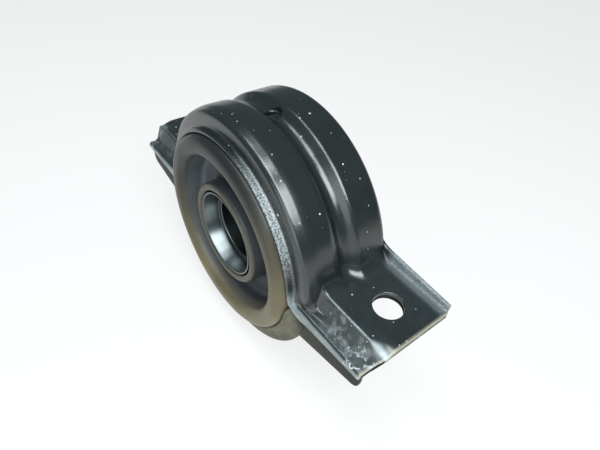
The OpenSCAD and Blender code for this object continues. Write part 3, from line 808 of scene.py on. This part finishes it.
# Each paint's dust colour also carries the painted light and shade that its marks set.
gloss_paint = bracket_paint("bracket_paint", 0.25, 1.0, (0.48, 0.57, 0.60))
dull_paint = bracket_paint("bracket_paint_dull", 0.5, 0.15, (0.62, 0.58, 0.42))
rubber, seal = cushion_rubber(), seal_rubber()
carrier_steel = plain_steel("carrier_steel", (0.45, 0.46, 0.47), 0.42)
race_steel = plain_steel("race_steel", (0.58, 0.59, 0.60), 0.24)
slinger_steel = plain_steel("slinger_steel", (0.25, 0.28, 0.285), 0.3)
cage_steel = plain_steel("cage_steel", (0.50, 0.47, 0.40), 0.38)
ball_steel = plain_steel("ball_steel", (0.75, 0.76, 0.77), 0.12)

for piece, body, node, material, slot_name in (
    (upper_bracket(), "bracket", "upper_bracket", gloss_paint, "bracket_paint"),
    (lower_bracket(), "bracket", "lower_bracket", dull_paint, "bracket_paint"),
    (rubber_cushion(), "bracket", "rubber_cushion", rubber, "cushion_rubber"),
    (slinger("front_sleeve", -1, 25.4), "shaft_ring", "front_slinger", slinger_steel, "slinger_steel"),
    (slinger("rear_sleeve", 1, 21.4), "shaft_ring", "rear_slinger", slinger_steel, "slinger_steel"),
    (race_ring(), "shaft_ring", "inner_race", race_steel, "race_steel"),
):
    dress(piece, material)
    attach(piece, body)
    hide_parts(node)

cad_finish = {"bearing_carrier": carrier_steel, "retaining_ring": carrier_steel, "outer_race": race_steel,
              "front_seal": seal, "rear_seal": seal, "cage_front": cage_steel, "cage_rear": cage_steel,
              "cage_rivets": cage_steel, **{f"ball_{i}": ball_steel for i in range(1, 10)}}
for node, material in cad_finish.items():
    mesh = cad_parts[node].data
    mesh.materials.clear()
    mesh.materials.append(material)


# Camera, floor and light

def set_camera():
    """The photograph's viewpoint: a 27 mm lens on a 36 mm sensor, looking down from the front right."""
    place = np.array((147.4, -103.8, 163.0))
    right = np.array((0.6063, 0.7921, 0.0706))
    down = np.array((0.5741, -0.3746, -0.7281))
    ahead = np.array((-0.5503, 0.482, -0.6818))
    data = bpy.data.cameras.new("camera")
    data.lens, data.sensor_width, data.sensor_fit = 27.0, 36.0, "HORIZONTAL"
    data.clip_start, data.clip_end = 0.01, 20.0
    camera = bpy.data.objects.new("camera", data)
    turn = np.eye(4)
    turn[:3, 0], turn[:3, 1], turn[:3, 2], turn[:3, 3] = right, -down, -ahead, place * MM
    camera.matrix_world = Matrix(turn.tolist())
    bpy.context.scene.collection.objects.link(camera)
    bpy.context.scene.camera = camera


def lamp(name, place, size, power, colour):
    """A square area lamp at place, in metres, that faces the bearing's centre."""
    data = bpy.data.lights.new(name, "AREA")
    data.shape, data.size, data.energy, data.color = "SQUARE", size, power, colour
    light = bpy.data.objects.new(name, data)
    back = np.array(place) / np.linalg.norm(place)
    side = np.cross((0, 0, 1), back)
    side /= np.linalg.norm(side)
    turn = np.eye(4)
    turn[:3, 0], turn[:3, 1], turn[:3, 2], turn[:3, 3] = side, np.cross(back, side), back, place
    light.matrix_world = Matrix(turn.tolist())
    bpy.context.scene.collection.objects.link(light)


def floor_white():
    """A floor that throws back warm light; to the eye and in mirrors it is white and keeps the object's shadow."""
    material, tree, shader, _ = node_tree("floor_white")
    link = tree.links.new
    shader.inputs["Base Color"].default_value = (0.90, 0.83, 0.67, 1)
    shader.inputs["Roughness"].default_value = 0.9
    rays = tree.nodes.new("ShaderNodeLightPath").outputs
    seen = math_node(tree, "MAXIMUM", rays["Is Camera Ray"], rays["Is Glossy Ray"])
    seen = math_node(tree, "MAXIMUM", seen, rays["Is Transmission Ray"])
    glow, paper = tree.nodes.new("ShaderNodeEmission"), tree.nodes.new("ShaderNodeBsdfDiffuse")
    glow.inputs["Strength"].default_value = 1.0
    paper.inputs["Color"].default_value = (0.93, 0.93, 0.93, 1)
    shaded, floor = tree.nodes.new("ShaderNodeMixShader"), tree.nodes.new("ShaderNodeMixShader")
    shaded.inputs["Fac"].default_value = 0.25
    link(glow.outputs["Emission"], shaded.inputs[1])
    link(paper.outputs["BSDF"], shaded.inputs[2])
    link(seen, floor.inputs["Fac"])
    link(shader.outputs["BSDF"], floor.inputs[1])
    link(shaded.outputs["Shader"], floor.inputs[2])
    link(floor.outputs["Shader"], tree.nodes["Material Output"].inputs["Surface"])
    return material


def set_stage():
    """A pale floor under the lower ring, a dim even sky and four soft lamps, from the camera's side to the front."""
    size, level = 3.0, -0.0645
    cool, cooler = (0.92, 0.99, 1.0), (0.88, 0.97, 1.0)
    mesh = bpy.data.meshes.new("floor")
    corners = [(-size, -size, level), (size, -size, level), (size, size, level), (-size, size, level)]
    mesh.from_pydata(corners, [], [(0, 1, 2, 3)])
    floor = bpy.data.objects.new("floor", mesh)
    bpy.context.scene.collection.objects.link(floor)
    mesh.materials.append(floor_white())
    world = bpy.data.worlds.new("studio")
    world.use_nodes = True
    sky = world.node_tree.nodes["Background"]
    sky.inputs["Color"].default_value = (0.72, 0.93, 1.0, 1)
    sky.inputs["Strength"].default_value = 0.17
    bpy.context.scene.world = world
    lamp("camera_side", (0.366, -0.132, 0.456), 0.34, 3, cool)
    lamp("between", (0.075, -0.12, 0.655), 0.24, 1.5, cool)
    lamp("overhead", (-0.252, -0.108, 0.855), 0.2, 0.9, cool)
    lamp("front", (0.36, -0.66, 0.24), 0.55, 1.9, cooler)


set_camera()
set_stage()
bpy.context.scene.view_settings.view_transform = "Standard"
